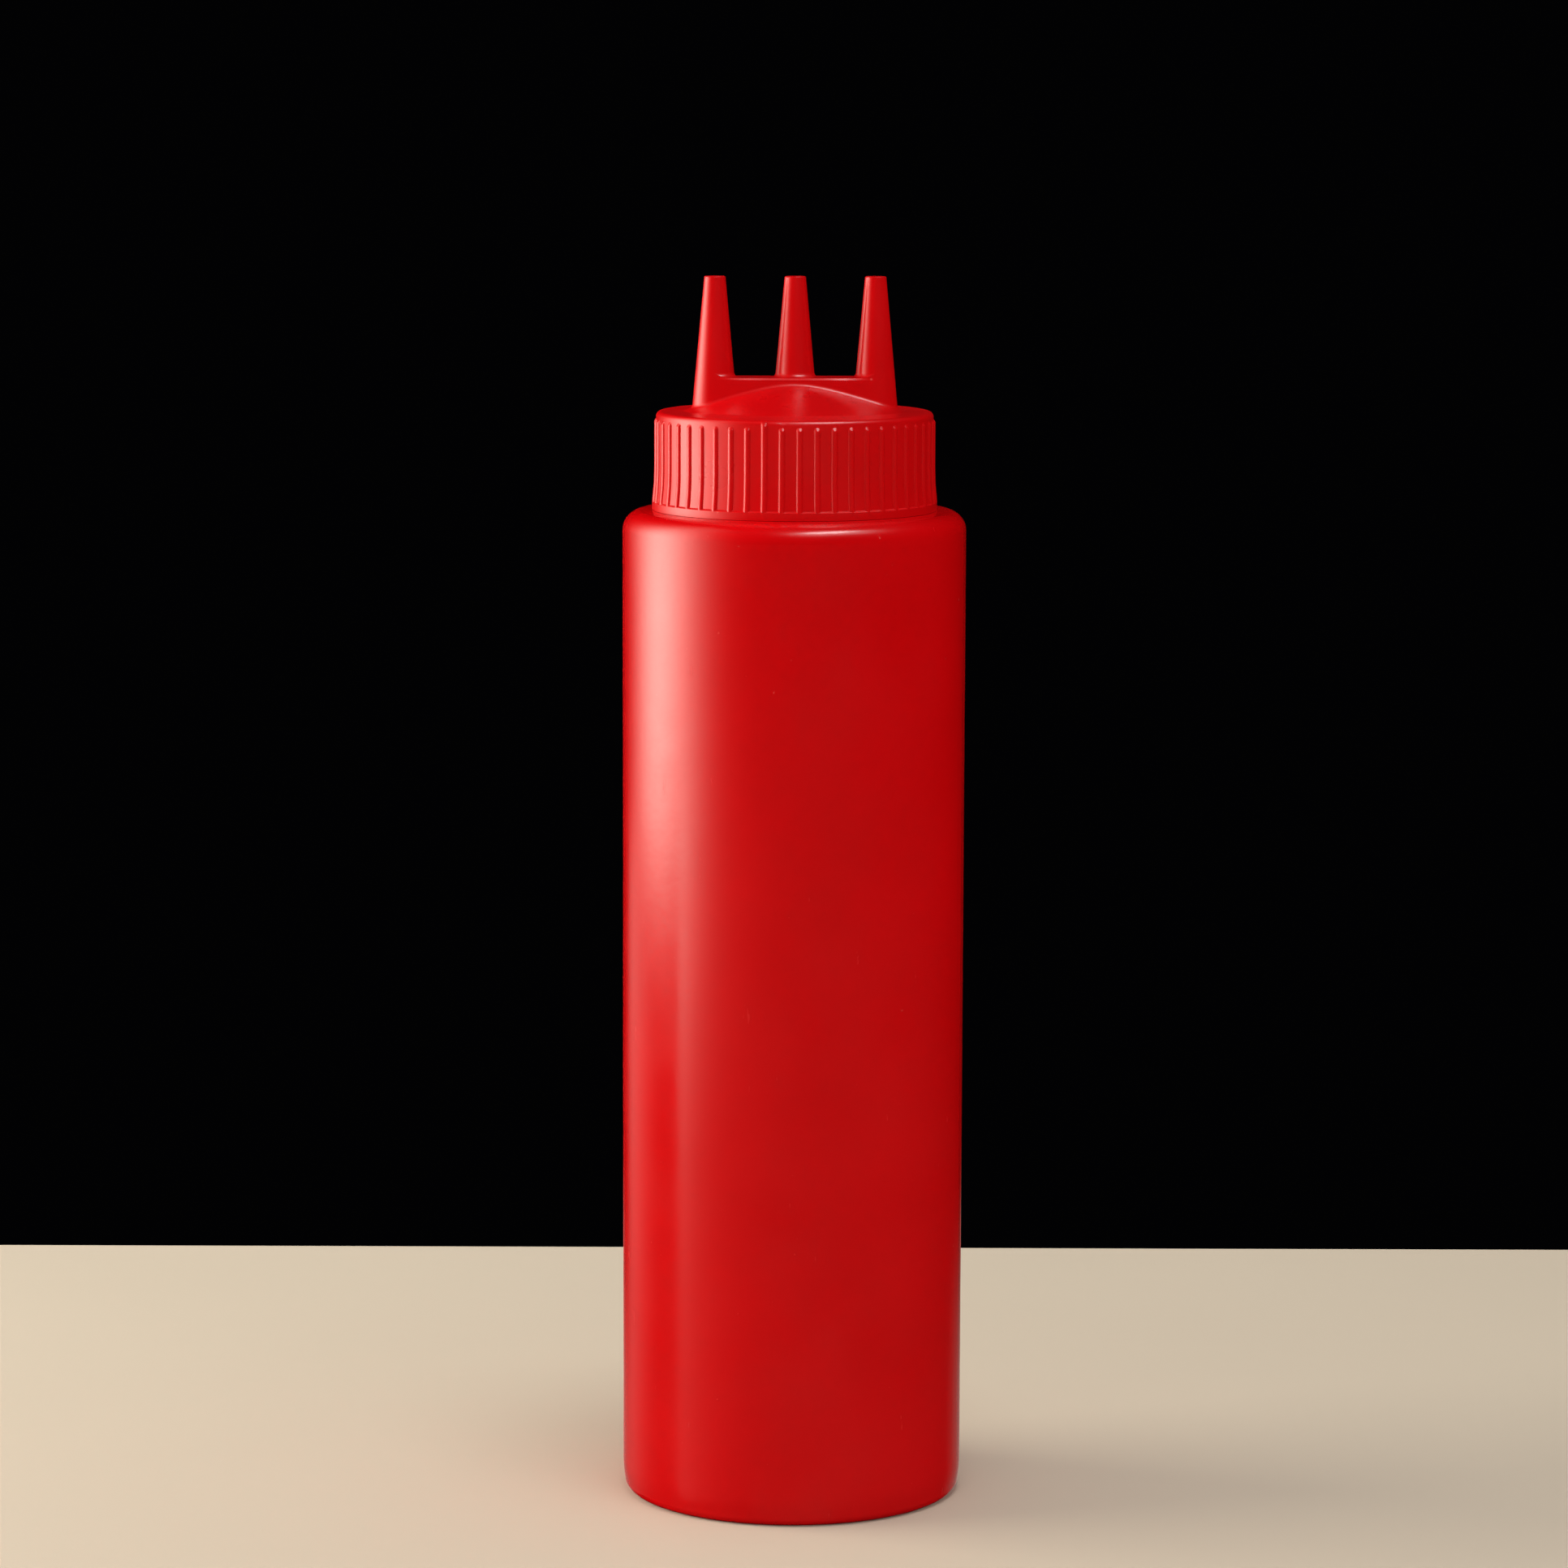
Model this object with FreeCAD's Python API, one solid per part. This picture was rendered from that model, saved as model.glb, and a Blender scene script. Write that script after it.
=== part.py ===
import FreeCAD, Part
import math
import os

# Squeeze bottle for sauce: a plain round bottle and a screw cap with three
# nozzles in a row.  Millimetres, +Z up.  The origin is the middle of the
# standing plane, X runs along the row of nozzles and -Y is the front.

# Bottle
BODY_DIAMETER = 68.0
BODY_HEIGHT = 197.5            # standing plane to the flat of the shoulder
SHOULDER_RADIUS = 4.0
HEEL_RADIUS = 2.0
HEEL_TUCK = 0.45               # the wall draws in by this much above the heel
HEEL_TUCK_HEIGHT = 4.5
FOOT_RING_WIDTH = 3.2
PUSH_UP_DEPTH = 2.4            # hollow in the middle of the base
SHOULDER_STEP = 8.3            # body wall to neck wall
NECK_RIM_CHAMFER = 0.6

# Cap
NECK_CLEARANCE = 0.35          # neck wall to the inside of the skirt
SKIRT_GAP = 0.2                # shoulder to the lower edge of the skirt
CAP_WALL = 1.3
CAP_HEIGHT = 19.3
CAP_TOP_THICKNESS = 1.8
CAP_EDGE_RADIUS = 1.0
FLARE_WIDTH = 0.4              # the skirt opens out towards its lower edge
FLARE_HEIGHT = 6.7
BEAD_HEIGHT = 1.5              # plain bead under the ribs
BEAD_SLOPE = 0.3

# Grip ribs round the skirt
RIB_COUNT = 50
RIB_HEIGHT = 0.38
RIB_WIDTH = 1.4
RIB_SINK = 0.12                # the rib is rooted this deep in the skirt
RIB_END_SLOPE = 0.7
RIB_TOP_SETBACK = 1.3          # plain band between the ribs and the cap top
RIB_PHASE = 1.9                # degrees from the front to the nearest rib
PARTING_RIB = -2               # this rib runs on up to the edge of the cap
PARTING_RIB_SETBACK = 0.35

# Manifold: a low oval cone and an upright bar that carry the nozzles
MOUND_SIDE_MARGIN = 4.35       # edge of the flat top to the ends of the cone
MOUND_FRONT_MARGIN = 11.05     # edge of the flat top to its front and back
MOUND_APEX_HEIGHT = 7.6
MOUND_END_LENGTH = 1.7         # foot of an outer nozzle to the end of the cone
BAR_HEIGHT = 6.7
BAR_CROWN = 0.6                # the long sides bulge by this much
BAR_EASE_HEIGHT = 0.35         # slope that eases the top edge of the long sides
BAR_EASE_WIDTH = 0.3
BAR_FOOT_FILLET = 1.0          # between the mound and the bar
MOUND_FOOT_FILLET = 1.5        # between the cap top and the mound
MOUND_HIDDEN_TOP = 1.1         # the cone stops this far under the top of the bar
NOZZLE_COUNT = 3
NOZZLE_HEIGHT = 26.5
NOZZLE_TIP_DIAMETER = 4.2
NOZZLE_BASE_DIAMETER = 9.0
NOZZLE_FOOT_FILLET = 1.1
NOZZLE_LIP_CHAMFER = 0.15
NOZZLE_TIP_BORE = 2.2
NOZZLE_BASE_BORE = 5.6

# Worked out
BODY_RADIUS = BODY_DIAMETER / 2
NECK_RADIUS = BODY_RADIUS - SHOULDER_STEP
CAP_BORE_RADIUS = NECK_RADIUS + NECK_CLEARANCE
LAND_RADIUS = CAP_BORE_RADIUS + CAP_WALL
CREST_RADIUS = LAND_RADIUS + RIB_HEIGHT
BEAD_RADIUS = CREST_RADIUS + FLARE_WIDTH
CAP_BOTTOM = BODY_HEIGHT + SKIRT_GAP
CAP_TOP = CAP_BOTTOM + CAP_HEIGHT
NECK_TOP = CAP_TOP - CAP_TOP_THICKNESS
ROOT_DEPTH = CAP_TOP_THICKNESS / 2
BEAD_TOP = CAP_BOTTOM + BEAD_HEIGHT
FLAT_TOP_RADIUS = LAND_RADIUS - CAP_EDGE_RADIUS
MOUND_HALF_LENGTH = FLAT_TOP_RADIUS - MOUND_SIDE_MARGIN
MOUND_HALF_WIDTH = FLAT_TOP_RADIUS - MOUND_FRONT_MARGIN
ROW_HALF_LENGTH = MOUND_HALF_LENGTH - MOUND_END_LENGTH - NOZZLE_BASE_DIAMETER / 2
NOZZLE_PITCH = 2 * ROW_HALF_LENGTH / (NOZZLE_COUNT - 1)

UP = FreeCAD.Vector(0, 0, 1)
NEAR = 0.001                   # tells edges that lie on a surface from the rest


def vec(x, y, z):
    return FreeCAD.Vector(x, y, z)


def nozzle_radius(height):
    """Outer radius of a nozzle at a height over the cap top."""
    base = NOZZLE_BASE_DIAMETER / 2
    tip = NOZZLE_TIP_DIAMETER / 2
    return base + (tip - base) * height / NOZZLE_HEIGHT


def rz(radius, z):
    return vec(radius, 0, z)


def line(a, b):
    return Part.makeLine(a, b)


def round_arc(centre, radius, start, end):
    """Arc in the XZ plane about a centre, from one angle to another in degrees."""
    spots = []
    for degrees in (start, (start + end) / 2, end):
        angle = math.radians(degrees)
        spots.append(centre + vec(radius * math.cos(angle), 0, radius * math.sin(angle)))
    return Part.Arc(*spots).toShape()


def revolve(edges):
    """Solid of revolution about Z from a closed outline in the XZ plane."""
    face = Part.Face(Part.Wire(edges))
    return face.revolve(vec(0, 0, 0), UP, 360)


def fading_arc(foot_radius, foot_z, top_radius, top_z):
    """Shallow arc that is upright at its top and leans by its own depth below."""
    depth = abs(top_radius - foot_radius)
    rise = top_z - foot_z
    radius = (rise ** 2 + depth ** 2) / (2 * depth)
    turn = math.asin(rise / radius)
    side = 1 if foot_radius < top_radius else -1
    centre_radius = top_radius - side * radius
    middle = rz(centre_radius + side * radius * math.cos(turn / 2), top_z - radius * math.sin(turn / 2))
    return Part.Arc(rz(foot_radius, foot_z), middle, rz(top_radius, top_z)).toShape()


def bottle():
    ring_outer = BODY_RADIUS - HEEL_TUCK - HEEL_RADIUS
    ring_inner = ring_outer - FOOT_RING_WIDTH
    tucked = BODY_RADIUS - HEEL_TUCK
    tuck_top = HEEL_RADIUS + HEEL_TUCK_HEIGHT
    shoulder_low = BODY_HEIGHT - SHOULDER_RADIUS
    shoulder_flat = BODY_RADIUS - SHOULDER_RADIUS
    dome_radius = (ring_inner ** 2 + PUSH_UP_DEPTH ** 2) / (2 * PUSH_UP_DEPTH)
    dome_turn = math.degrees(math.asin(ring_inner / dome_radius))
    dome_centre = rz(0, PUSH_UP_DEPTH - dome_radius)
    rim_low = NECK_TOP - NECK_RIM_CHAMFER
    rim_inner = NECK_RADIUS - NECK_RIM_CHAMFER
    return revolve([
        round_arc(dome_centre, dome_radius, 90, 90 - dome_turn),
        line(rz(ring_inner, 0), rz(ring_outer, 0)),
        round_arc(rz(ring_outer, HEEL_RADIUS), HEEL_RADIUS, -90, 0),
        fading_arc(tucked, HEEL_RADIUS, BODY_RADIUS, tuck_top),
        line(rz(BODY_RADIUS, tuck_top), rz(BODY_RADIUS, shoulder_low)),
        round_arc(rz(shoulder_flat, shoulder_low), SHOULDER_RADIUS, 0, 90),
        line(rz(shoulder_flat, BODY_HEIGHT), rz(NECK_RADIUS, BODY_HEIGHT)),
        line(rz(NECK_RADIUS, BODY_HEIGHT), rz(NECK_RADIUS, rim_low)),
        line(rz(NECK_RADIUS, rim_low), rz(rim_inner, NECK_TOP)),
        line(rz(rim_inner, NECK_TOP), rz(0, NECK_TOP)),
        line(rz(0, NECK_TOP), rz(0, PUSH_UP_DEPTH)),
    ])


def cap_shell():
    """Skirt and top plate, open below over the neck."""
    slope_top = BEAD_TOP + BEAD_SLOPE
    flare_top = slope_top + FLARE_HEIGHT
    flare_foot = LAND_RADIUS + FLARE_WIDTH
    edge_low = CAP_TOP - CAP_EDGE_RADIUS
    return revolve([
        line(rz(CAP_BORE_RADIUS, CAP_BOTTOM), rz(BEAD_RADIUS, CAP_BOTTOM)),
        line(rz(BEAD_RADIUS, CAP_BOTTOM), rz(BEAD_RADIUS, BEAD_TOP)),
        line(rz(BEAD_RADIUS, BEAD_TOP), rz(flare_foot, slope_top)),
        fading_arc(flare_foot, slope_top, LAND_RADIUS, flare_top),
        line(rz(LAND_RADIUS, flare_top), rz(LAND_RADIUS, edge_low)),
        round_arc(rz(FLAT_TOP_RADIUS, edge_low), CAP_EDGE_RADIUS, 0, 90),
        line(rz(FLAT_TOP_RADIUS, CAP_TOP), rz(0, CAP_TOP)),
        line(rz(0, CAP_TOP), rz(0, NECK_TOP)),
        line(rz(0, NECK_TOP), rz(CAP_BORE_RADIUS, NECK_TOP)),
        line(rz(CAP_BORE_RADIUS, NECK_TOP), rz(CAP_BORE_RADIUS, CAP_BOTTOM)),
    ])


def land_radius(z):
    """Outer radius of the skirt between the ribs at a height above the ground."""
    slope_top = BEAD_TOP + BEAD_SLOPE
    flare_top = slope_top + FLARE_HEIGHT
    if z >= flare_top:
        return LAND_RADIUS
    radius = (FLARE_HEIGHT ** 2 + FLARE_WIDTH ** 2) / (2 * FLARE_WIDTH)
    return LAND_RADIUS + radius - math.sqrt(radius ** 2 - (flare_top - max(z, slope_top)) ** 2)


def rib_section(z, height):
    """Round-backed section of a rib that stands out of the skirt by a height."""
    land = land_radius(z)
    half = RIB_WIDTH / 2
    root = land - RIB_SINK
    left = vec(root, -half, z)
    right = vec(root, half, z)
    deep_left = vec(root - RIB_SINK, -half, z)
    deep_right = vec(root - RIB_SINK, half, z)
    return Part.Wire([
        Part.Arc(left, vec(land + height, 0, z), right).toShape(),
        line(right, deep_right),
        line(deep_right, deep_left),
        line(deep_left, left),
    ])


def grip_rib(setback):
    """One rib at the +X side, which follows the flare and slopes off at its top."""
    foot = BEAD_TOP - BEAD_SLOPE
    flare_top = BEAD_TOP + BEAD_SLOPE + FLARE_HEIGHT
    top = CAP_TOP - setback
    stations = [
        (foot, RIB_HEIGHT),
        (BEAD_TOP + BEAD_SLOPE, RIB_HEIGHT),
        (BEAD_TOP + BEAD_SLOPE + FLARE_HEIGHT / 2, RIB_HEIGHT),
        (flare_top, RIB_HEIGHT),
        (top - RIB_END_SLOPE, RIB_HEIGHT),
        (top, -RIB_SINK / 2),
    ]
    return Part.makeLoft([rib_section(z, height) for z, height in stations], True, True)


def ribs():
    plain = grip_rib(RIB_TOP_SETBACK)
    parting = grip_rib(PARTING_RIB_SETBACK)
    step = 360 / RIB_COUNT
    made = []
    for index in range(RIB_COUNT):
        is_parting = index == PARTING_RIB % RIB_COUNT
        rib = (parting if is_parting else plain).copy()
        rib.rotate(vec(0, 0, 0), UP, -90 + RIB_PHASE + index * step)
        made.append(rib)
    return made


def mound():
    """Low oval cone on the cap top, cut off inside the bar."""
    rings = []
    for height in (-ROOT_DEPTH, BAR_HEIGHT - MOUND_HIDDEN_TOP):
        share = 1 - height / MOUND_APEX_HEIGHT
        oval = Part.Ellipse(vec(0, 0, CAP_TOP + height), MOUND_HALF_LENGTH * share, MOUND_HALF_WIDTH * share)
        rings.append(Part.Wire(oval.toShape()))
    return Part.makeLoft(rings, True, True)


def bar_outline(height, crown=BAR_CROWN):
    """Plan of the bar: ends round the outer nozzles, and crowned sides tangent to them."""
    radius = nozzle_radius(height)
    z = CAP_TOP + height
    reach = ROW_HALF_LENGTH
    side_centre = (reach ** 2 - crown ** 2) / (2 * crown)
    lean = math.atan2(reach, side_centre)
    along = reach + radius * math.sin(lean)
    across = radius * math.cos(lean)
    bulge = radius + crown
    corners = [vec(along, -across, z), vec(along, across, z), vec(-along, across, z), vec(-along, -across, z)]
    return Part.Wire([
        Part.Arc(corners[0], vec(reach + radius, 0, z), corners[1]).toShape(),
        Part.Arc(corners[1], vec(0, bulge, z), corners[2]).toShape(),
        Part.Arc(corners[2], vec(-reach - radius, 0, z), corners[3]).toShape(),
        Part.Arc(corners[3], vec(0, -bulge, z), corners[0]).toShape(),
    ])


def bar():
    """Upright bar between the nozzles; its top edge is eased along the sides alone."""
    sections = [
        bar_outline(-ROOT_DEPTH),
        bar_outline(BAR_HEIGHT - BAR_EASE_HEIGHT),
        bar_outline(BAR_HEIGHT, BAR_CROWN - BAR_EASE_WIDTH),
    ]
    return Part.makeLoft(sections, True, True)


def on_mound(edge):
    """True where the middle of an edge lies on the oval cone."""
    spot = edge.valueAt((edge.FirstParameter + edge.LastParameter) / 2)
    share = 1 - (spot.z - CAP_TOP) / MOUND_APEX_HEIGHT
    return abs(math.hypot(spot.x / MOUND_HALF_LENGTH, spot.y / MOUND_HALF_WIDTH) - share) < NEAR


def over_top(edge):
    """Height of the lowest end of an edge over the cap top."""
    return min(vertex.Z for vertex in edge.Vertexes) - CAP_TOP


def manifold_on_top():
    """Cap shell with mound and bar, and the concave fillets where they meet."""
    shape = cap_shell().fuse([mound(), bar()]).removeSplitter().Solids[0]
    joint = [edge for edge in shape.Edges if on_mound(edge) and over_top(edge) > NEAR]
    shape = shape.makeFillet(BAR_FOOT_FILLET, joint)
    foot = [edge for edge in shape.Edges if on_mound(edge) and abs(over_top(edge)) < NEAR]
    return shape.makeFillet(MOUND_FOOT_FILLET, foot)


def nozzle(x):
    """Tapered tube that stands on the bar."""
    foot_z = CAP_TOP + BAR_HEIGHT
    tip_z = CAP_TOP + NOZZLE_HEIGHT
    tip_radius = nozzle_radius(NOZZLE_HEIGHT)
    lip = NOZZLE_LIP_CHAMFER
    body = revolve([
        line(rz(0, foot_z), rz(nozzle_radius(BAR_HEIGHT), foot_z)),
        line(rz(nozzle_radius(BAR_HEIGHT), foot_z), rz(tip_radius, tip_z - lip)),
        line(rz(tip_radius, tip_z - lip), rz(tip_radius - lip, tip_z)),
        line(rz(tip_radius - lip, tip_z), rz(0, tip_z)),
        line(rz(0, tip_z), rz(0, foot_z)),
    ])
    body.translate(vec(x, 0, 0))
    return body


def foot_fillet(x):
    """Concave fillet between a nozzle and the top of the bar, kept over the bar."""
    foot_z = CAP_TOP + BAR_HEIGHT
    top_z = foot_z + NOZZLE_FOOT_FILLET
    outer = nozzle_radius(BAR_HEIGHT) + NOZZLE_FOOT_FILLET
    inner = nozzle_radius(BAR_HEIGHT + NOZZLE_FOOT_FILLET)
    rise = NOZZLE_FOOT_FILLET * (1 - math.sqrt(0.5))
    ring = revolve([
        line(rz(0, foot_z), rz(outer, foot_z)),
        Part.Arc(rz(outer, foot_z), rz(inner + rise, foot_z + rise), rz(inner, top_z)).toShape(),
        line(rz(inner, top_z), rz(0, top_z)),
        line(rz(0, top_z), rz(0, foot_z)),
    ])
    ring.translate(vec(x, 0, 0))
    crown = BAR_CROWN - BAR_EASE_WIDTH
    above = BAR_HEIGHT + NOZZLE_FOOT_FILLET
    over_bar = Part.makeLoft([bar_outline(BAR_HEIGHT, crown), bar_outline(above, crown)], True, True)
    width = 2 * outer
    between = Part.makeBox(2 * ROW_HALF_LENGTH, width, NOZZLE_FOOT_FILLET, vec(-ROW_HALF_LENGTH, -outer, foot_z))
    return ring.common(over_bar).common(between)


def bore(x):
    """Tapered channel from the underside of the cap out through a nozzle tip."""
    length = CAP_TOP_THICKNESS + NOZZLE_HEIGHT
    cone = Part.makeCone(NOZZLE_BASE_BORE / 2, NOZZLE_TIP_BORE / 2, length, rz(0, NECK_TOP))
    cone.translate(vec(x, 0, 0))
    return cone


def nozzle_places():
    return [-ROW_HALF_LENGTH + index * NOZZLE_PITCH for index in range(NOZZLE_COUNT)]


def cap():
    nozzles = [nozzle(x) for x in nozzle_places()]
    fillets = [foot_fillet(x) for x in nozzle_places()]
    solid = manifold_on_top().fuse(nozzles + fillets + ribs())
    solid = solid.cut([bore(x) for x in nozzle_places()]).removeSplitter()
    if len(solid.Solids) != 1:
        raise ValueError("the cap has come out in pieces")
    return solid.Solids[0]


def main():
    os.makedirs("parts", exist_ok=True)
    for name, shape in (("bottle", bottle()), ("cap", cap())):
        shape.exportStep("parts/" + name + ".step")
        box = shape.BoundBox
        print(name, shape.ShapeType, "valid", shape.isValid(), "volume", round(shape.Volume, 1))
        print("  box", round(box.XLength, 2), round(box.YLength, 2), round(box.ZMin, 2), round(box.ZMax, 2))


main()
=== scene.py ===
"""Looks for the squeeze bottle: the blown bottle, the moulded cap, the studio and the camera.

Metres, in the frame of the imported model: +Z up, X along the row of nozzles, -Y the front.
"""

import math

import bpy
from mathutils import Matrix, Vector, noise


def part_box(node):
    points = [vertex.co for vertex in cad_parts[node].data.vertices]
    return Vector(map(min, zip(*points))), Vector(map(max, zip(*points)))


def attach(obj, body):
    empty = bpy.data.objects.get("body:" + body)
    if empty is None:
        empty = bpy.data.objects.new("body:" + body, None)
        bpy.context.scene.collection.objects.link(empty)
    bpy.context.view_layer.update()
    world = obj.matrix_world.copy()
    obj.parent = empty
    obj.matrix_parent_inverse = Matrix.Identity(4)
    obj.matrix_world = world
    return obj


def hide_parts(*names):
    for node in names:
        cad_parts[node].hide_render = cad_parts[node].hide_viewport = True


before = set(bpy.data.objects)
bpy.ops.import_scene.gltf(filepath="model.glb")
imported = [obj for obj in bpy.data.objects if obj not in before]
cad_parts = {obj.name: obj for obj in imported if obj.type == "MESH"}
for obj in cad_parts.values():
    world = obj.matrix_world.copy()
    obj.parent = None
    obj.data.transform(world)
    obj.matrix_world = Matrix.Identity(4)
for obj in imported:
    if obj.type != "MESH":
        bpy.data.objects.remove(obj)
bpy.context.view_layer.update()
bottle_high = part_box("bottle")[1]

MM = 0.001

# Bottle, as the part's source has it
BODY_RADIUS = bottle_high.x
NECK_TOP = bottle_high.z
BODY_HEIGHT = 197.5 * MM
SHOULDER_RADIUS = 4.0 * MM
HEEL_RADIUS = 2.0 * MM
HEEL_TUCK = 0.45 * MM
HEEL_TUCK_HEIGHT = 4.5 * MM
FOOT_RING_WIDTH = 3.2 * MM
PUSH_UP_DEPTH = 2.4 * MM
NECK_RADIUS = 25.7 * MM
NECK_RIM_CHAMFER = 0.6 * MM
RING_OUTER = BODY_RADIUS - HEEL_TUCK - HEEL_RADIUS
RING_INNER = RING_OUTER - FOOT_RING_WIDTH

# The shoulder lifts a little under the skirt of the cap
COLLAR_RADIUS = 28.6 * MM
COLLAR_RISE = 0.14 * MM

# Marks of blow moulding
DENT_DEPTH = 0.10 * MM          # slow dents of the thin wall
DENTS_ROUND = 1.6
DENT_LENGTH = 55 * MM
SEAM_HEIGHT = 0.05 * MM         # mould parting line at both sides
SEAM_HALF_WIDTH = 0.28 * MM
SEAM_MEAN = 0.6                 # share of its height that the seam has on average
SEAM_WANDER = 0.4               # how far that share goes up and down along it
SEAM_WANDER_LENGTH = 4 * MM
SEAM_NOISE_PLACE = (0.5, 7.5)   # part of the noise that the seam reads
PINCH_HALF_LENGTH = 17 * MM     # weld line under the base
PINCH_HEIGHT = 0.35 * MM
PINCH_HALF_WIDTH = 0.5 * MM
PINCH_END_SLOPE = 6             # steepness of its ends

# Mesh of the bottle
COLUMNS = 288
WALL_ROW = 2.5 * MM
ARC_ROWS = 14
DOME_ROWS = 26
FLAT_ROWS = 3
SEAM_COLUMNS = (-1.4, -1, -0.7, -0.4, 0.4, 0.7, 1, 1.4)     # in half widths of the seam
SMOOTH_ANGLE = math.radians(40)

# Red plastic: linear colours, and noise scales per metre
RED_DEEP = (0.51, 0.0010, 0.0022, 1)
RED_PALE = (0.54, 0.0014, 0.0028, 1)
CLOUD_SCALE = 45
CLOUD_RANGE = (0.35, 0.65)
DUST_COLOUR = (0.75, 0.12, 0.10, 1)
DUST_SCALE = 700
DUST_RANGE = (0.80, 0.84)
DUST_COVER = 0.35
BOTTLE_ROUGHNESS = 0.20
CAP_ROUGHNESS = 0.30
PATCH_SCALE = 60                # patches of more and less gloss
PATCH_RANGE = (0.3, 0.7)
PATCH_ROUGHNESS = 0.03
SCUFF_SCALE = (900, 900, 120)   # short upright scuffs
SCUFF_RANGE = (0.62, 0.80)
SCUFF_ROUGHNESS = 0.10
BOTTLE_PEEL_SCALE = 600
BOTTLE_PEEL_DEPTH = 0.012 * MM
CAP_PEEL_SCALE = 420
CAP_PEEL_DEPTH = 0.008 * MM
GRAIN_SCALE = 4500
GRAIN_DEPTH = 0.0006 * MM
PLASTIC_IOR = 1.5
MIX_COLOURS = (6, 7)            # sockets of a Mix node that mixes colours
MIX_RESULT = 2

# Camera
LENS = 129.3                    # millimetres, on a sensor of this width
SENSOR_WIDTH = 36
NEAREST = 0.01
CAMERA_PLACE = Vector((-0.0019, -1.1097, 0.2945))
CAMERA_PITCH = math.radians(7.784)
CAMERA_ROLL = math.radians(0.18)

# Floor
FLOOR_HALF_WIDTH = 0.75
FLOOR_FRONT = -1.3
FLOOR_BACK = 0.22
FLOOR_COLOUR = (0.54, 0.46, 0.36, 1)
FLOOR_ROUGHNESS = 0.7
MOTTLE_SCALE = 12
MOTTLE_DARKER = 0.96

# Screen that the plastic reflects; azimuths in degrees from the front, positive to the right
SCREEN_DISTANCE = 0.6
SCREEN_LOW = -0.25
SCREEN_HIGH = 1.31
SCREEN_COLUMNS = 240
SCREEN_ROWS = 130
WINDOW_COLOUR = (1.0, 0.96, 0.84, 1)
WINDOW_RADIANCE = 9.0           # tall window at the left
WINDOW_AZIMUTH = -95
WINDOW_SPREAD_FRONT = 18
WINDOW_SPREAD_BEHIND = 15.5
WINDOW_LOW = 0.046
WINDOW_EDGE = 0.02
WINDOW_FADE = 26                # degrees over which it fades above the bottle
STRIP_RADIANCE = 1.9            # strip under the window, which grows brighter upwards
STRIP_GROWTH = 0.045
STRIP_LEAST = 0.32
STRIP_AZIMUTH = -79
STRIP_FADE_FRONT = 14
STRIP_FADE_BEHIND = 4
BEHIND_RADIANCE = 0.6           # dimmer patch beside it, behind at the left
BEHIND_GROWTH = 0.13
BEHIND_START = (98, 130)
BEHIND_END = (134, 150)
TABLE_RADIANCE = 0.2            # what the table behind gives from below
TABLE_TURN = (125, 160)
TABLE_DEPTH = (0.07, 0.14)
EDGE_RADIANCE = 0.5             # and its brighter part straight behind
EDGE_TURN = (160, 176)
EDGE_DEPTH = (0.05, 0.09)

# Lamps, which aim at the middle of the body; a radiance of 1 takes LAMP_POWER watts a square metre
LAMP_POWER = 4
TENT_STEP = 45                  # degrees between the lamps of the soft tent
TENT_LAMP = dict(elevation=20, distance=1.6, width=1.25, height=1.1, radiance=1.17)
WINDOW_LAMP = dict(azimuth=-92, elevation=24, distance=1.0, width=0.7, height=0.5, radiance=6.2)
OVERHEAD_LAMP = dict(azimuth=20, elevation=77, distance=1.3, width=0.36, height=0.36, radiance=12.0)
GLINT_LAMP = dict(azimuth=40, elevation=63, distance=1.3, width=0.90, height=0.34, radiance=11.5)
SURROUND_COLOUR = (0.0007, 0.0007, 0.0009, 1)


# Profile of the bottle ------------------------------------------------------


def line_rows(start, end, count):
    """Points from start to end, without the end."""
    return [start + (end - start) * (index / count) for index in range(count)]


def arc_rows(centre, radius, start, end, count):
    """Points on an arc from one angle to another in degrees, without the end."""
    rows = []
    for index in range(count):
        angle = math.radians(start + (end - start) * index / count)
        rows.append(centre + Vector((radius * math.cos(angle), radius * math.sin(angle))))
    return rows


def tuck_rows(count):
    """The wall above the heel, which leans in towards the foot."""
    rows = []
    for index in range(count):
        share = index / count
        inset = HEEL_TUCK * (1 - share) ** 2
        rows.append(Vector((BODY_RADIUS - inset, HEEL_RADIUS + HEEL_TUCK_HEIGHT * share)))
    return rows


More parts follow.
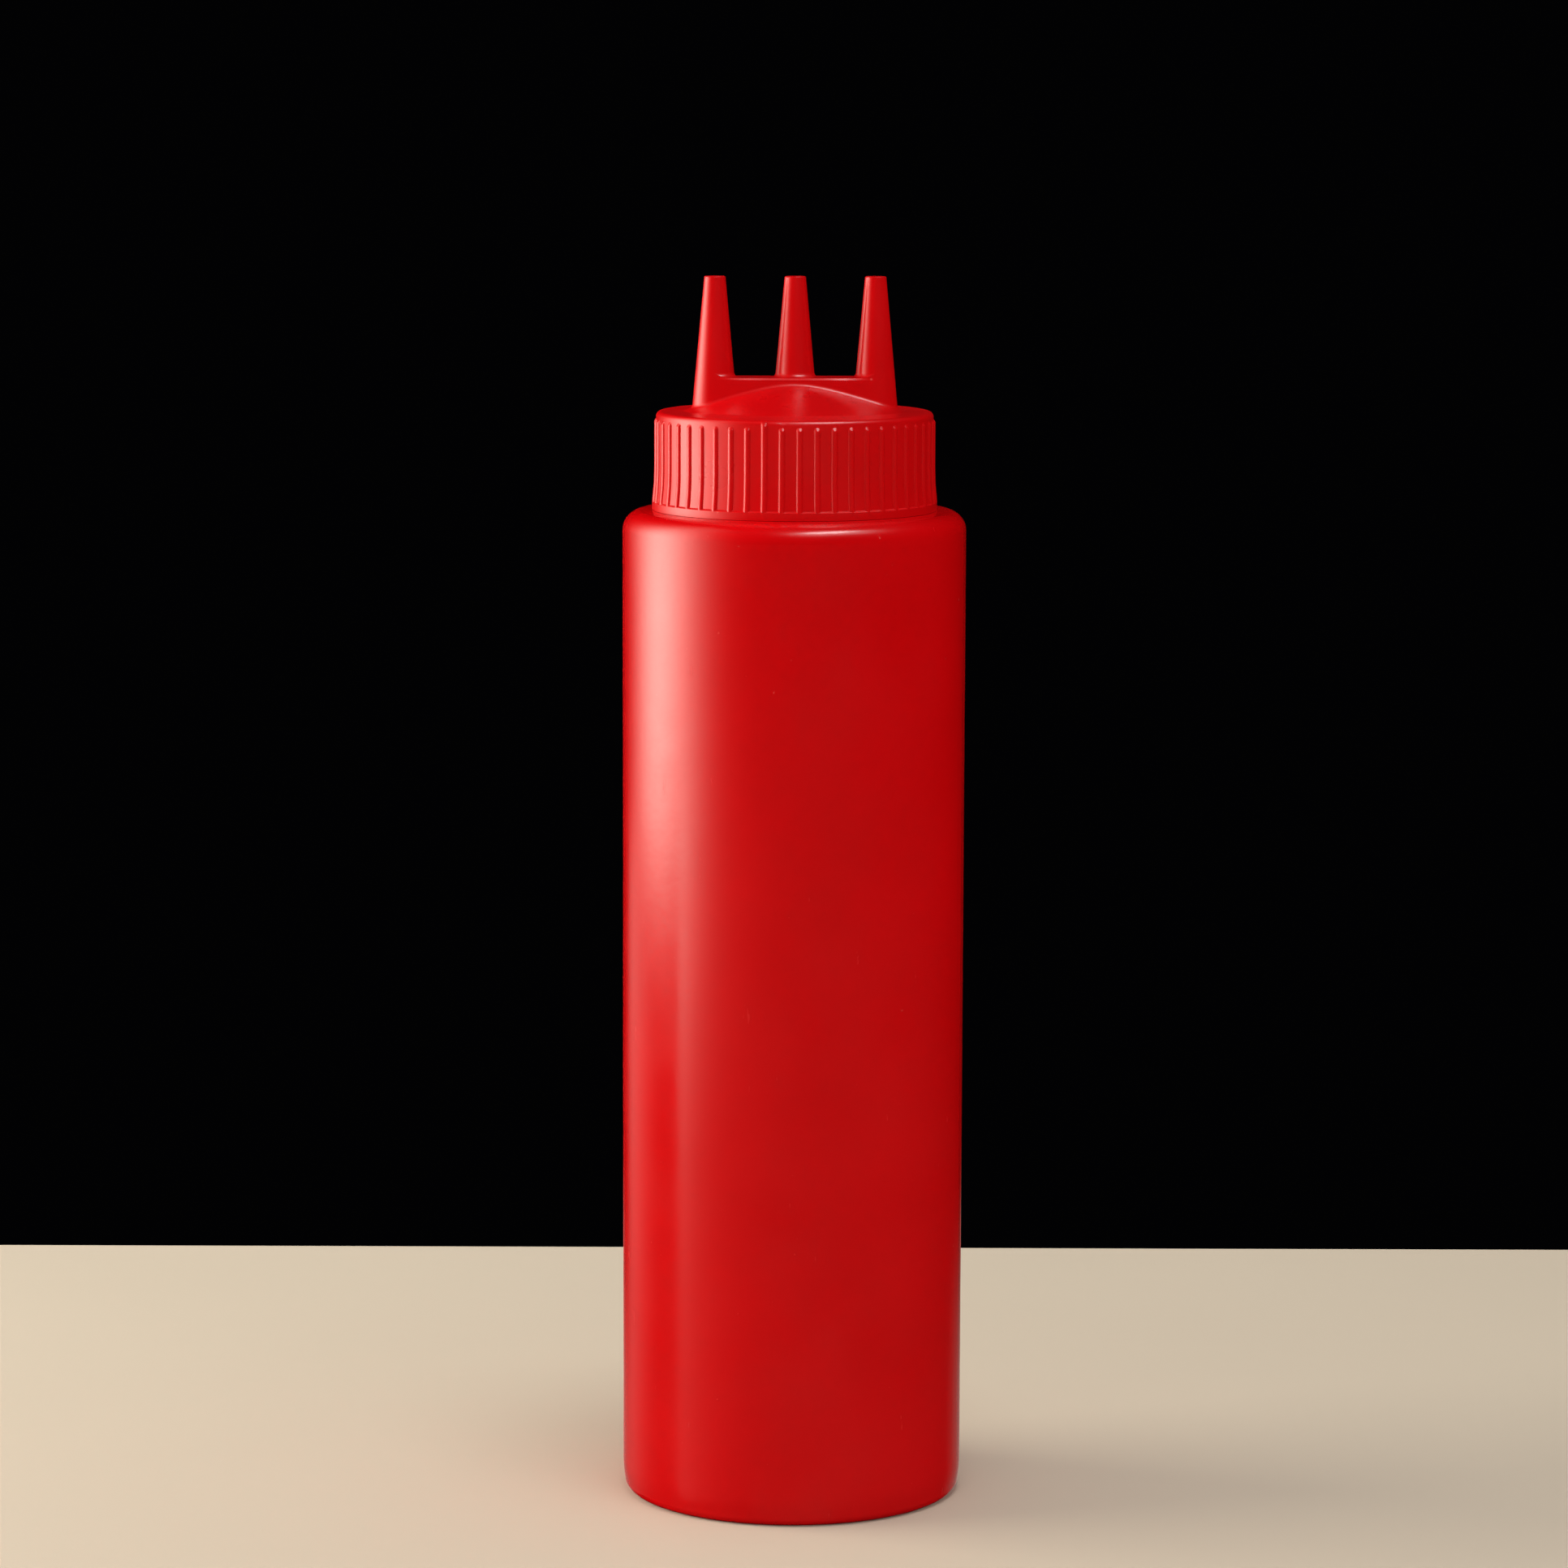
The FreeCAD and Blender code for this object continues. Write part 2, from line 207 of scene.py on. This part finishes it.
def bottle_profile():
    """Radius and height of each row, from the middle of the base to the middle of the neck top."""
    dome_radius = (RING_INNER**2 + PUSH_UP_DEPTH**2) / (2 * PUSH_UP_DEPTH)
    dome_turn = math.degrees(math.asin(RING_INNER / dome_radius))
    dome_centre = Vector((0, PUSH_UP_DEPTH - dome_radius))
    heel_centre = Vector((RING_OUTER, HEEL_RADIUS))
    wall_low = Vector((BODY_RADIUS, HEEL_RADIUS + HEEL_TUCK_HEIGHT))
    wall_high = Vector((BODY_RADIUS, BODY_HEIGHT - SHOULDER_RADIUS))
    wall_rows = round((wall_high.y - wall_low.y) / WALL_ROW)
    shoulder_centre = Vector((BODY_RADIUS - SHOULDER_RADIUS, wall_high.y))
    shoulder_top = Vector((shoulder_centre.x, BODY_HEIGHT))
    collar_edge = Vector((COLLAR_RADIUS, BODY_HEIGHT + COLLAR_RISE))
    neck_foot = Vector((NECK_RADIUS, collar_edge.y))
    rim_low = Vector((NECK_RADIUS, NECK_TOP - NECK_RIM_CHAMFER))
    rim_high = Vector((NECK_RADIUS - NECK_RIM_CHAMFER, NECK_TOP))
    rows = arc_rows(dome_centre, dome_radius, 90, 90 - dome_turn, DOME_ROWS)
    rows += line_rows(Vector((RING_INNER, 0)), Vector((RING_OUTER, 0)), FLAT_ROWS)
    rows += arc_rows(heel_centre, HEEL_RADIUS, -90, 0, ARC_ROWS)
    rows += tuck_rows(ARC_ROWS)
    rows += line_rows(wall_low, wall_high, wall_rows)
    rows += arc_rows(shoulder_centre, SHOULDER_RADIUS, 0, 90, ARC_ROWS)
    rows += line_rows(shoulder_top, collar_edge, FLAT_ROWS)
    rows += line_rows(collar_edge, neck_foot, FLAT_ROWS)
    rows += line_rows(neck_foot, rim_low, FLAT_ROWS)
    rows += [rim_low, rim_high, Vector((0, NECK_TOP))]
    return rows


def column_angles():
    """Even columns, with closer ones where the seams run at both sides."""
    angles = {2 * math.pi * index / COLUMNS for index in range(COLUMNS)}
    for side in (0, math.pi):
        for share in SEAM_COLUMNS:
            turn = share * SEAM_HALF_WIDTH / BODY_RADIUS
            angles.add((side + turn) % (2 * math.pi))
    return sorted(angles)


def clamp(value):
    """Value held between 0 and 1."""
    return min(1.0, max(0.0, value))


def ridge(distance, half_width):
    """Round-backed ridge: 1 on its line and 0 at its half width."""
    return max(0.0, 1 - (distance / half_width) ** 2)


def wall_inset(angle, z):
    """How far the wall lies inside its full radius: slow dents, less the seam's ridge."""
    ahead, aside = math.cos(angle), math.sin(angle)
    slow = noise.noise(Vector((DENTS_ROUND * ahead, DENTS_ROUND * aside, z / DENT_LENGTH)))
    inset = DENT_DEPTH * (0.5 + 0.5 * slow)
    seam_place = (SEAM_NOISE_PLACE[0], SEAM_NOISE_PLACE[1] + ahead, z / SEAM_WANDER_LENGTH)
    wander = SEAM_MEAN + SEAM_WANDER * noise.noise(Vector(seam_place))
    seam = SEAM_HEIGHT * wander * ridge(BODY_RADIUS * aside, SEAM_HALF_WIDTH)
    return SEAM_HEIGHT + max(inset, 0) - seam


def base_drop(x, y):
    """How far the weld line under the base stands down out of it."""
    ends = min(1.0, PINCH_END_SLOPE * ridge(x, PINCH_HALF_LENGTH))
    return PINCH_HEIGHT * ridge(y, PINCH_HALF_WIDTH) * ends


def bottle_point(row, angle):
    """A point of the bottle's skin on a row of the profile."""
    radius, z = row
    above_heel = clamp((z - HEEL_RADIUS) / HEEL_TUCK_HEIGHT) if radius > NECK_RADIUS else 0.0
    below_top = clamp((BODY_HEIGHT - z) / SHOULDER_RADIUS)
    radius -= above_heel * below_top * wall_inset(angle, z)
    x = radius * math.cos(angle)
    y = radius * math.sin(angle)
    if 0 < z <= PUSH_UP_DEPTH and radius < RING_INNER:
        z -= base_drop(x, y)
    return (x, y, z)


def ring_faces(rows, columns):
    """Faces between closed rings of points, ring over ring."""
    faces = []
    for row in range(rows - 1):
        low = row * columns
        high = low + columns
        for column in range(columns):
            beside = (column + 1) % columns
            faces.append((low + column, low + beside, high + beside, high + column))
    return faces


def bottle_mesh():
    """Closed skin of revolution with the marks of moulding."""
    rows = bottle_profile()
    angles = column_angles()
    across = len(angles)
    ringed = rows[1:-1]
    verts = [bottle_point(row, angle) for row in ringed for angle in angles]
    faces = ring_faces(len(ringed), across)
    base_middle = len(verts)
    verts.append((0, 0, rows[0].y - PINCH_HEIGHT))
    top_middle = len(verts)
    verts.append((0, 0, rows[-1].y))
    last = (len(ringed) - 1) * across
    for column in range(across):
        beside = (column + 1) % across
        faces.append((base_middle, beside, column))
        faces.append((top_middle, last + column, last + beside))
    mesh = bpy.data.meshes.new("bottle_skin")
    mesh.from_pydata(verts, [], faces)
    mesh.validate()
    mesh.shade_smooth()
    mesh.set_sharp_from_angle(angle=SMOOTH_ANGLE)
    return mesh


# Materials ------------------------------------------------------------------


class Nodes:
    """Short calls to build a material's node tree."""

    def __init__(self, material):
        material.use_nodes = True
        self.tree = material.node_tree
        self.tree.nodes.clear()

    def add(self, kind, inputs=None, **settings):
        node = self.tree.nodes.new(kind)
        for name, value in settings.items():
            setattr(node, name, value)
        for name, value in (inputs or {}).items():
            self.put(node.inputs[name], value)
        return node

    def put(self, socket, value):
        if isinstance(value, bpy.types.NodeSocket):
            self.tree.links.new(value, socket)
        else:
            socket.default_value = value

    def noise(self, place, scale, detail=2.0, roughness=0.5):
        inputs = {"Vector": place, "Scale": scale, "Detail": detail, "Roughness": roughness}
        return self.add("ShaderNodeTexNoise", inputs).outputs["Fac"]

    def spread(self, value, span, to_low, to_high):
        inputs = {"Value": value, "From Min": span[0], "From Max": span[1]}
        inputs.update({"To Min": to_low, "To Max": to_high})
        return self.add("ShaderNodeMapRange", inputs).outputs["Result"]

    def sum(self, first, second):
        return self.add("ShaderNodeMath", {0: first, 1: second}, operation="ADD").outputs[0]

    def stretched(self, place, scale):
        node = self.add("ShaderNodeMapping", {"Vector": place, "Scale": scale})
        return node.outputs["Vector"]

    def blend(self, share, first, second):
        node = self.add("ShaderNodeMix", data_type="RGBA")
        self.put(node.inputs["Factor"], share)
        self.put(node.inputs[MIX_COLOURS[0]], first)
        self.put(node.inputs[MIX_COLOURS[1]], second)
        return node.outputs[MIX_RESULT]

    def bump(self, height, depth, **below):
        inputs = {"Height": height, "Strength": 1.0, "Distance": depth, **below}
        return self.add("ShaderNodeBump", inputs).outputs[0]


def red_plastic(name, roughness, peel_scale, peel_depth):
    """Moulded red plastic: clouded colour, dust specks, uneven gloss and a fine skin."""
    material = bpy.data.materials.new(name)
    nodes = Nodes(material)
    place = nodes.add("ShaderNodeTexCoord").outputs["Object"]

    clouds = nodes.noise(place, CLOUD_SCALE, detail=3)
    colour = nodes.blend(nodes.spread(clouds, CLOUD_RANGE, 0, 1), RED_DEEP, RED_PALE)
    dust = nodes.noise(place, DUST_SCALE, detail=1)
    colour = nodes.blend(nodes.spread(dust, DUST_RANGE, 0, DUST_COVER), colour, DUST_COLOUR)

    patches = nodes.noise(place, PATCH_SCALE, detail=4, roughness=0.6)
    scuffs = nodes.noise(nodes.stretched(place, SCUFF_SCALE), 1, detail=3, roughness=0.6)
    glossiest, dullest = roughness - PATCH_ROUGHNESS, roughness + PATCH_ROUGHNESS
    dull = nodes.spread(patches, PATCH_RANGE, glossiest, dullest)
    dull = nodes.sum(dull, nodes.spread(scuffs, SCUFF_RANGE, 0, SCUFF_ROUGHNESS))

    peel = nodes.bump(nodes.noise(place, peel_scale), peel_depth)
    skin = nodes.bump(nodes.noise(place, GRAIN_SCALE, detail=1), GRAIN_DEPTH, Normal=peel)

    shader = nodes.add(
        "ShaderNodeBsdfPrincipled",
        {"Base Color": colour, "Roughness": dull, "IOR": PLASTIC_IOR, "Normal": skin},
    )
    nodes.add("ShaderNodeOutputMaterial", {"Surface": shader.outputs[0]})
    return material


def matte(name, colour):
    """Plain floor paint with a faint mottle."""
    material = bpy.data.materials.new(name)
    nodes = Nodes(material)
    place = nodes.add("ShaderNodeTexCoord").outputs["Object"]
    darker = (*(channel * MOTTLE_DARKER for channel in colour[:3]), 1)
    mottled = nodes.blend(nodes.noise(place, MOTTLE_SCALE, detail=3), darker, colour)
    inputs = {"Base Color": mottled, "Roughness": FLOOR_ROUGHNESS}
    shader = nodes.add("ShaderNodeBsdfPrincipled", inputs)
    nodes.add("ShaderNodeOutputMaterial", {"Surface": shader.outputs[0]})
    return material


# Studio ---------------------------------------------------------------------


def direction(azimuth, elevation):
    """Unit vector for an azimuth from the front, positive to the right, and an elevation."""
    turn = math.radians(azimuth)
    rise = math.radians(elevation)
    level = math.cos(rise)
    return Vector((math.sin(turn) * level, -math.cos(turn) * level, math.sin(rise)))


def lamp(name, azimuth, elevation, distance, width, height, radiance, colour=(1, 1, 1)):
    """Rectangular soft light that aims at the middle of the body from a given side."""
    aim = Vector((0, 0, BODY_HEIGHT / 2))
    place = aim + direction(azimuth, elevation) * distance
    light = bpy.data.lights.new(name, "AREA")
    light.shape = "RECTANGLE"
    light.size = width
    light.size_y = height
    light.energy = LAMP_POWER * width * height * radiance
    light.color = colour
    holder = bpy.data.objects.new(name, light)
    holder.location = place
    holder.rotation_euler = (place - aim).to_track_quat("Z", "Y").to_euler()
    holder.visible_camera = False
    bpy.context.scene.collection.objects.link(holder)
    return holder


def soft_lamp(name, **settings):
    """Soft light that leaves no reflection."""
    holder = lamp(name, **settings)
    holder.visible_glossy = False
    holder.data.cycles.use_multiple_importance_sampling = False


def smooth_step(value, low, high):
    """Smooth rise from 0 at low to 1 at high."""
    share = clamp((value - low) / (high - low))
    return share * share * (3 - 2 * share)


def glow(azimuth, z):
    """Radiance of the screen at an azimuth and a height over the floor."""
    leftward = -azimuth
    turned = abs(azimuth)
    raised = smooth_step(z, WINDOW_LOW - WINDOW_EDGE, WINDOW_LOW + WINDOW_EDGE)
    lift = math.degrees(math.atan2(max(z - BODY_HEIGHT, 0), SCREEN_DISTANCE))
    topped = math.exp(-(lift**2) / (2 * WINDOW_FADE**2))
    spread = WINDOW_SPREAD_FRONT if azimuth > WINDOW_AZIMUTH else WINDOW_SPREAD_BEHIND
    window = WINDOW_RADIANCE * math.exp(-((azimuth - WINDOW_AZIMUTH) ** 2) / (2 * spread**2))
    strip = STRIP_RADIANCE * math.exp(min(z, WINDOW_LOW) / STRIP_GROWTH) + STRIP_LEAST
    if azimuth > STRIP_AZIMUTH:
        strip *= math.exp((STRIP_AZIMUTH - azimuth) / STRIP_FADE_FRONT)
    strip *= smooth_step(azimuth, STRIP_AZIMUTH - STRIP_FADE_BEHIND, STRIP_AZIMUTH)
    behind = BEHIND_RADIANCE * math.exp(min(z, WINDOW_LOW) / BEHIND_GROWTH)
    behind *= smooth_step(leftward, *BEHIND_START) * (1 - smooth_step(leftward, *BEHIND_END))
    table = TABLE_RADIANCE * smooth_step(turned, *TABLE_TURN) * smooth_step(-z, *TABLE_DEPTH)
    edge = EDGE_RADIANCE * smooth_step(turned, *EDGE_TURN) * smooth_step(-z, *EDGE_DEPTH)
    return topped * (window * raised + (strip + behind) * (1 - raised)) + table + edge


def screen():
    """Curved screen of light all round, which only reflections see."""
    verts = []
    glows = []
    for row in range(SCREEN_ROWS + 1):
        z = SCREEN_LOW + (SCREEN_HIGH - SCREEN_LOW) * row / SCREEN_ROWS
        for column in range(SCREEN_COLUMNS):
            azimuth = -180 + 360 * column / SCREEN_COLUMNS
            verts.append(direction(azimuth, 0) * SCREEN_DISTANCE + Vector((0, 0, z)))
            glows.append(glow(azimuth, z))
    faces = ring_faces(SCREEN_ROWS + 1, SCREEN_COLUMNS)
    mesh = bpy.data.meshes.new("screen")
    mesh.from_pydata(verts, [], faces)
    mesh.attributes.new("glow", "FLOAT", "POINT").data.foreach_set("value", glows)
    material = bpy.data.materials.new("screen_light")
    nodes = Nodes(material)
    strength = nodes.add("ShaderNodeAttribute", attribute_name="glow").outputs["Fac"]
    light = nodes.add("ShaderNodeEmission", {"Color": WINDOW_COLOUR, "Strength": strength})
    nodes.add("ShaderNodeOutputMaterial", {"Surface": light.outputs[0]})
    material.cycles.emission_sampling = "NONE"
    mesh.materials.append(material)
    piece = bpy.data.objects.new("screen", mesh)
    piece.visible_camera = False
    piece.visible_diffuse = False
    piece.visible_shadow = False
    piece.visible_transmission = False
    bpy.context.scene.collection.objects.link(piece)


def floor():
    """Plain floor, which leaves no reflection in the plastic."""
    corners = [
        (-FLOOR_HALF_WIDTH, FLOOR_FRONT, 0),
        (FLOOR_HALF_WIDTH, FLOOR_FRONT, 0),
        (FLOOR_HALF_WIDTH, FLOOR_BACK, 0),
        (-FLOOR_HALF_WIDTH, FLOOR_BACK, 0),
    ]
    mesh = bpy.data.meshes.new("floor")
    mesh.from_pydata(corners, [], [(0, 1, 2, 3)])
    piece = bpy.data.objects.new("floor", mesh)
    bpy.context.scene.collection.objects.link(piece)
    mesh.materials.append(matte("floor_paint", FLOOR_COLOUR))
    piece.visible_glossy = False


def surround():
    """Dark even surroundings."""
    world = bpy.data.worlds.new("surround")
    world.use_nodes = True
    world.node_tree.nodes["Background"].inputs["Color"].default_value = SURROUND_COLOUR
    bpy.context.scene.world = world


def camera():
    """Camera at the photograph's viewing angle."""
    data = bpy.data.cameras.new("camera")
    data.lens = LENS
    data.sensor_width = SENSOR_WIDTH
    data.clip_start = NEAREST
    holder = bpy.data.objects.new("camera", data)
    pitch = Matrix.Rotation(math.pi / 2 - CAMERA_PITCH, 4, "X")
    roll = Matrix.Rotation(CAMERA_ROLL, 4, "Z")
    holder.matrix_world = Matrix.Translation(CAMERA_PLACE) @ (pitch @ roll)
    bpy.context.scene.collection.objects.link(holder)
    bpy.context.scene.camera = holder


# Bottle and cap
bottle = bpy.data.objects.new("bottle_skin", bottle_mesh())
bpy.context.scene.collection.objects.link(bottle)
bottle.data.materials.append(
    red_plastic("bottle_plastic", BOTTLE_ROUGHNESS, BOTTLE_PEEL_SCALE, BOTTLE_PEEL_DEPTH)
)
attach(bottle, "root")
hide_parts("bottle")

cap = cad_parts["cap"]
cap.material_slots[0].material = red_plastic(
    "cap_plastic", CAP_ROUGHNESS, CAP_PEEL_SCALE, CAP_PEEL_DEPTH
)

# Studio
floor()
surround()
screen()
for azimuth in range(0, 360, TENT_STEP):
    soft_lamp(f"tent_{azimuth}", azimuth=azimuth, **TENT_LAMP)
soft_lamp("window", colour=WINDOW_COLOUR[:3], **WINDOW_LAMP)
soft_lamp("overhead", **OVERHEAD_LAMP)
glint = lamp("glint", **GLINT_LAMP)
glint.data.shape = "ELLIPSE"
glint.visible_diffuse = False

camera()
bpy.context.scene.view_settings.view_transform = "Standard"
